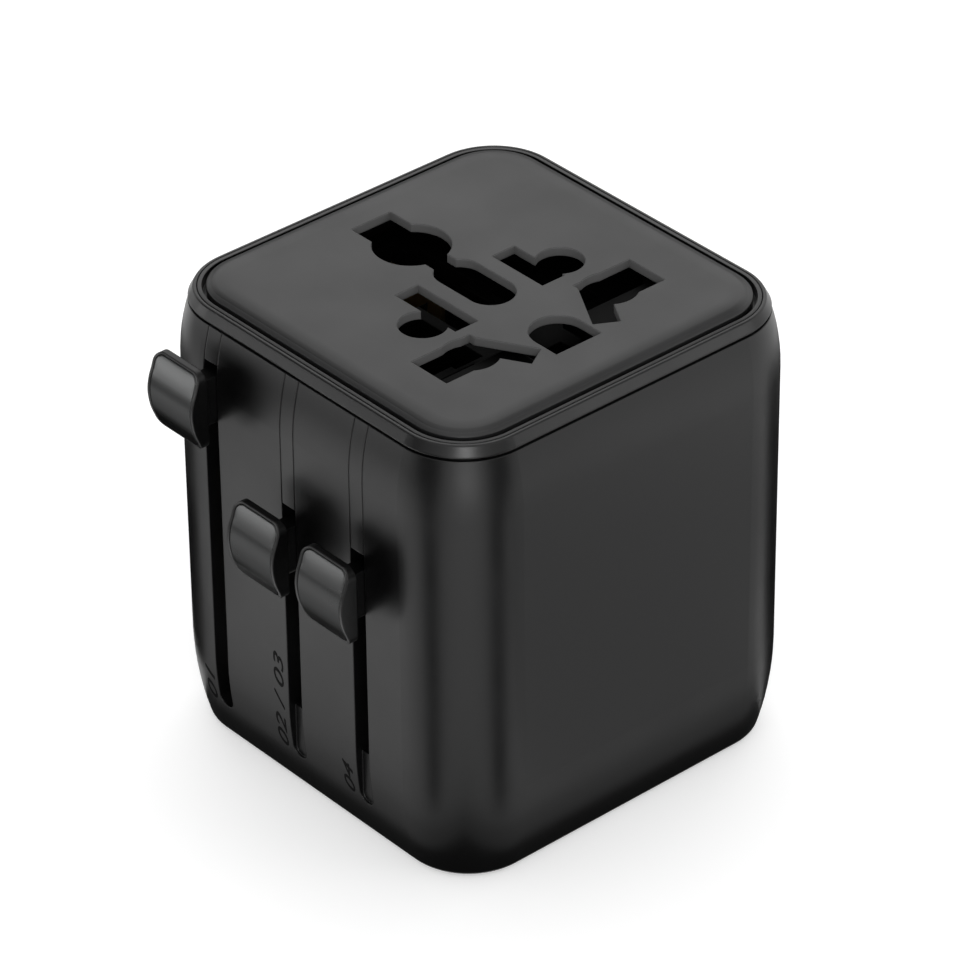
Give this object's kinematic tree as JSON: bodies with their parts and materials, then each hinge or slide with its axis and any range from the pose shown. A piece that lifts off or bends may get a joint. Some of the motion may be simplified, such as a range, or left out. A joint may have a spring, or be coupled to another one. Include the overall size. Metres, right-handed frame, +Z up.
{
  "type": "travel adapter",
  "caption": "Square black travel adapter: a universal socket on top and front sliders that push round pins, turning blades or flat pins out of the base.",
  "frame": {"origin": "centre of the flat base face", "axes": "+Z up towards the socket face, -Y out of the face with the sliders, +X towards the flat-pin slider"},
  "size_m": [0.05, 0.0554, 0.0547],
  "materials": {
    "body_plastic": "satin black, moulded",
    "panel_plastic": "fine matt black",
    "knob_plastic": "satin black",
    "cap_plastic": "softly polished dark grey",
    "inner_plastic": "plain moulded black",
    "shutter_plastic": "plain moulded dark grey",
    "pin_brass": "nickel washed, worn smooth",
    "pin_plated": "plated",
    "contact_brass": "as stamped",
    "steel": "zinc plated",
    "fuse_glass": "clear"
  },
  "bodies": {
    "root": {"housing": "body_plastic", "base_plate": "body_plastic", "base_screws": "steel", "rim_ring": "body_plastic", "inner_frame": "body_plastic", "socket_panel": "panel_plastic", "contact_carrier": "inner_plastic", "contact_cover": "inner_plastic", "contact_front": "contact_brass", "contact_back": "contact_brass", "earth_clip": "contact_brass", "earth_clip_middle": "contact_brass", "fuse_tube": "fuse_glass", "fuse_caps": "steel", "fuse_clips": "steel", "shutter_spring_front": "steel", "shutter_spring_back": "steel"},
    "round_pin_slider": {"knob_round_pins": "knob_plastic", "knob_cap_round_pins": "cap_plastic", "round_pin_block": "inner_plastic", "round_pin_front": "pin_plated", "round_pin_back": "pin_plated"},
    "blade_slider": {"knob_blades": "knob_plastic", "knob_cap_blades": "cap_plastic", "blade_carrier": "inner_plastic"},
    "left_blade": {"blade_left": "pin_brass", "blade_clip_left": "steel"},
    "right_blade": {"blade_right": "pin_brass", "blade_clip_right": "steel"},
    "flat_pin_slider": {"knob_flat_pins": "knob_plastic", "knob_cap_flat_pins": "cap_plastic", "flat_pin_carrier": "inner_plastic", "flat_pin_front": "pin_brass", "flat_pin_back": "pin_brass", "earth_pin": "pin_brass"},
    "pin_shutter": {"shutter": "shutter_plastic"}
  },
  "joints": [
    {"name": "round_pin_slide", "type": "slide", "parent": "root", "child": "round_pin_slider", "axis": [0, 0, -1], "range_m": [0, 0.0366]},
    {"name": "blade_slide", "type": "slide", "parent": "root", "child": "blade_slider", "axis": [0, 0, -1], "range_m": [0, 0.0228]},
    {"name": "flat_pin_slide", "type": "slide", "parent": "root", "child": "flat_pin_slider", "axis": [0, 0, -1], "range_m": [0, 0.0228]},
    {"name": "left_blade_turn", "type": "hinge", "parent": "blade_slider", "child": "left_blade", "pos_m": [-0.00405, -0.0063, 0.02745], "axis": [0, 0, 1], "range_deg": [0, 30]},
    {"name": "right_blade_turn", "type": "hinge", "parent": "blade_slider", "child": "right_blade", "pos_m": [0.00865, -0.0063, 0.02745], "axis": [0, 0, 1], "range_deg": [-30, 0]},
    {"name": "shutter_slide", "type": "slide", "parent": "root", "child": "pin_shutter", "axis": [1, 0, 0], "range_m": [0, 0.0034], "stiffness_N_per_m": 150, "springref_m": -0.002, "deforming": ["shutter_spring_front", "shutter_spring_back"]}
  ]
}
